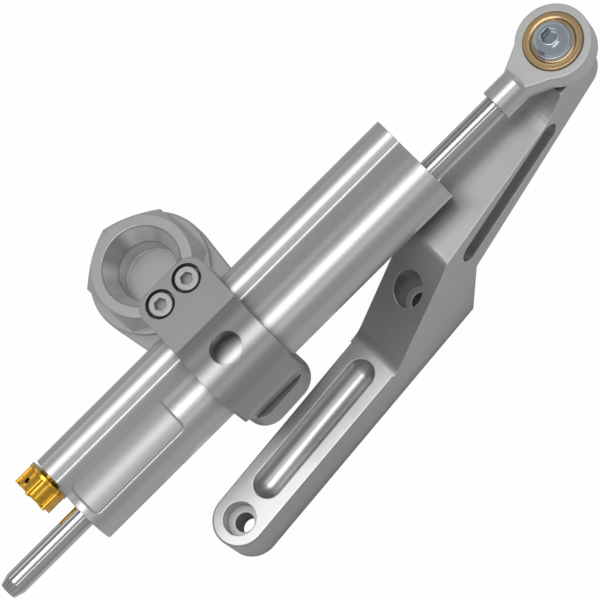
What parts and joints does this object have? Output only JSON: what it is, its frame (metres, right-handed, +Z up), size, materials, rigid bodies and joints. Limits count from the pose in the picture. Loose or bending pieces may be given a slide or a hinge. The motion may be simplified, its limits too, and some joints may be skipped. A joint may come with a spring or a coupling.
{
  "type": "motorcycle steering damper",
  "caption": "Linear steering damper: through-rod hydraulic cylinder with adjuster knob, clamped on a stem arm, its rod end bolted to a cranked mounting arm.",
  "frame": {"origin": "on the steering stem bolt's axis, at its lower end, level with the mounting arm's underside that bolts to the frame", "axes": "+Z up along the steering stem, +X along the damper towards the rod end, +Y from the damper towards the adjuster's side and the stem"},
  "size_m": [0.259, 0.1067, 0.0684],
  "materials": {
    "body_aluminium": "satin anodised, drawn along the body",
    "clamp_aluminium": "satin anodised, machined",
    "arm_aluminium": "bead-blasted and anodised",
    "head_aluminium": "turned and anodised",
    "gold_anodised": "gold anodised, satin",
    "chrome_rod": "ground and polished",
    "plated_steel": "bright zinc plated",
    "blue_zinc": "blue zinc plated",
    "dark_steel": "oiled steel",
    "brass": "turned",
    "rubber": "matte",
    "slip_plastic": "matte"
  },
  "bodies": {
    "damper": {"damper_body": "body_aluminium", "seal_head_front": "head_aluminium", "seal_head_tail": "head_aluminium", "rod_bushes": "brass", "rod_seals": "rubber", "rod_wipers": "rubber", "head_o_rings": "rubber", "head_retaining_rings": "dark_steel", "valve_housing": "head_aluminium", "valve_housing_o_ring": "rubber", "detent_ball": "dark_steel", "detent_spring": "dark_steel", "reservoir_plug": "head_aluminium", "reservoir_plug_o_ring": "rubber", "clamp_strap": "clamp_aluminium", "clamp_screws": "plated_steel", "pivot_bolt": "plated_steel", "pivot_bush": "brass", "pivot_thrust_washer": "slip_plastic", "pivot_washer": "plated_steel", "pivot_nut": "plated_steel"},
    "piston": {"damper_piston": "head_aluminium", "piston_band": "slip_plastic"},
    "rod": {"piston_rod": "chrome_rod", "piston_clips": "dark_steel", "rod_end": "plated_steel", "rod_end_race": "brass"},
    "arm": {"swivel_ball": "plated_steel", "rod_end_bolt": "blue_zinc", "rod_end_spacer": "plated_steel", "mounting_arm": "arm_aluminium"},
    "stem": {"stem_arm": "arm_aluminium", "stem_bolt": "arm_aluminium"},
    "knob": {"adjuster_knob": "gold_anodised", "adjuster_shaft": "plated_steel", "adjuster_shaft_o_ring": "rubber", "knob_set_screw": "dark_steel"},
    "separator": {"separator_piston": "head_aluminium", "separator_o_ring": "rubber"}
  },
  "joints": [
    {"name": "rod_slide", "type": "slide", "parent": "damper", "child": "piston", "axis": [1, 0, 0], "range_m": [-0.029, 0.031]},
    {"name": "rod_turn", "type": "hinge", "parent": "piston", "child": "rod", "pos_m": [0.01035, -0.05267, 0.053], "axis": [1, 0, 0], "range_deg": [-6, 6]},
    {"name": "arm_swivel", "type": "hinge", "parent": "rod", "child": "arm", "pos_m": [0.14435, -0.05267, 0.053], "axis": [0, 0, 1], "range_deg": [-3, 12]},
    {"name": "stem_pivot", "type": "hinge", "parent": "damper", "child": "stem", "pos_m": [0.00285, -0.05267, 0.033], "axis": [0, 0, 1], "range_deg": [-27, 35]},
    {"name": "knob_turn", "type": "hinge", "parent": "damper", "child": "knob", "pos_m": [-0.07115, -0.03532, 0.053], "axis": [1, 0, 0], "range_deg": [-270, 270]},
    {"name": "separator_slide", "type": "slide", "parent": "damper", "child": "separator", "axis": [1, 0, 0], "range_m": [-0.003, 0.003]}
  ]
}
